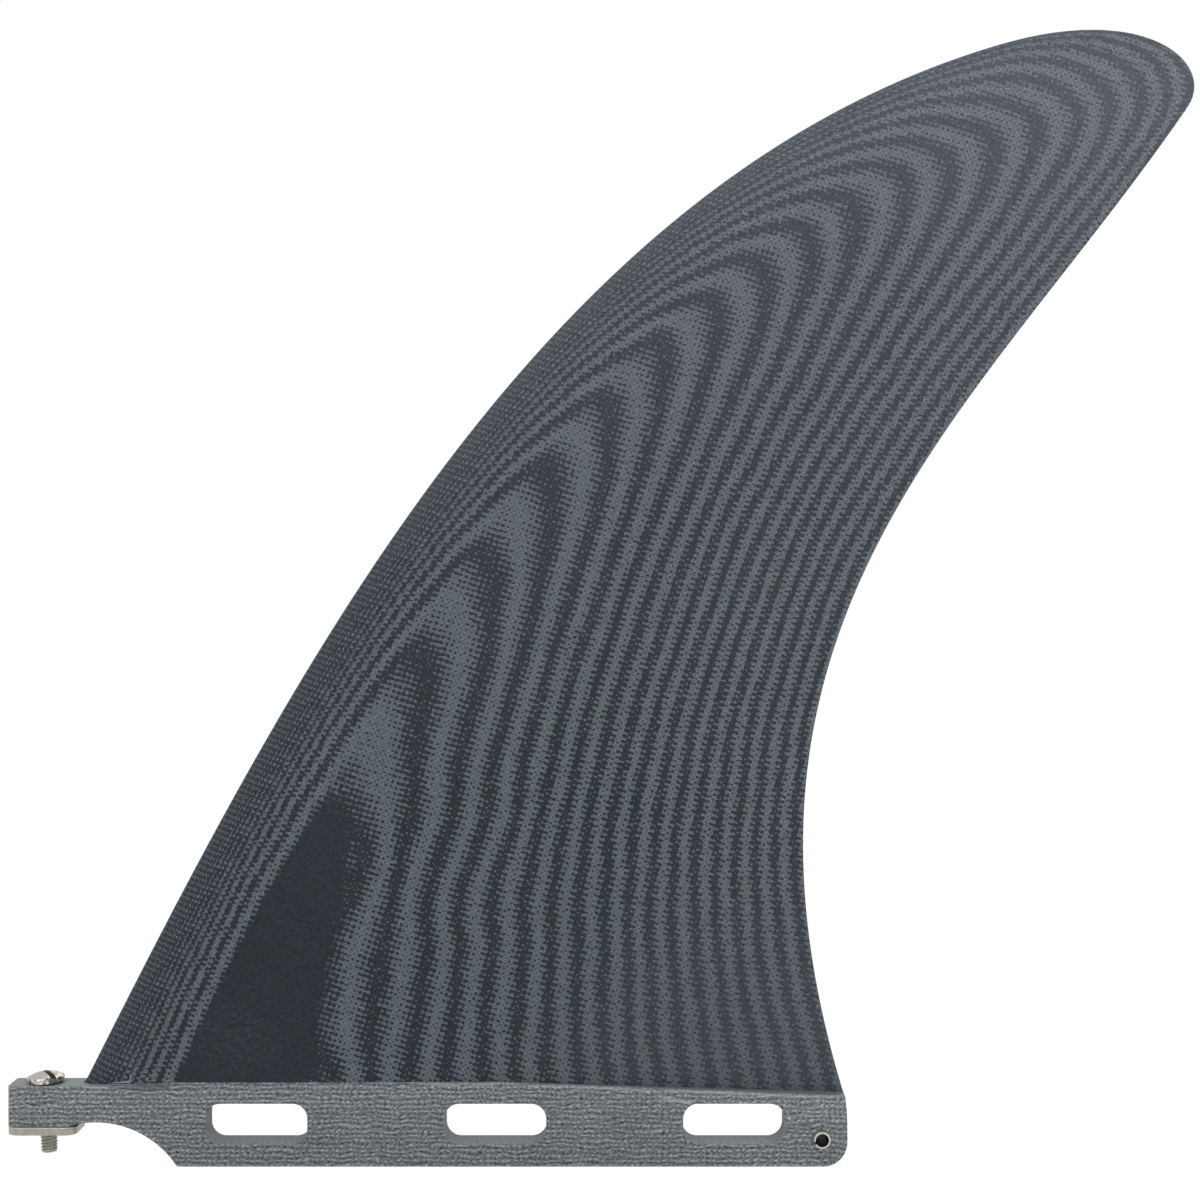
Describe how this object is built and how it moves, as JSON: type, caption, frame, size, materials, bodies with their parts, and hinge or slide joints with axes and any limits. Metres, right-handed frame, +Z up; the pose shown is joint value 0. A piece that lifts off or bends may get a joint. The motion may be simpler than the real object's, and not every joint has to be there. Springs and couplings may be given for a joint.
{
  "type": "surfboard fin",
  "caption": "Swept single surfboard fin, foiled from a flat glass laminate panel, with a windowed base tab, screw, nut plate and spring pin.",
  "frame": {"origin": "middle of the base tab's length, on the fin's mid-plane, at the height of the board's surface", "axes": "+X aft along the tab, +Y through the thickness, +Z up from the board's surface towards the tip"},
  "size_m": [0.2924, 0.016, 0.2802],
  "materials": {
    "laminate": "satin foiled dark and light woven glass laminate",
    "screw_steel": "turned stainless steel",
    "plate_steel": "tumbled stainless steel",
    "pin_steel": "rolled stainless strip"
  },
  "bodies": {
    "root": {"fin": "laminate", "screw": "screw_steel", "nut_plate": "plate_steel", "roll_pin": "pin_steel"}
  },
  "joints": []
}
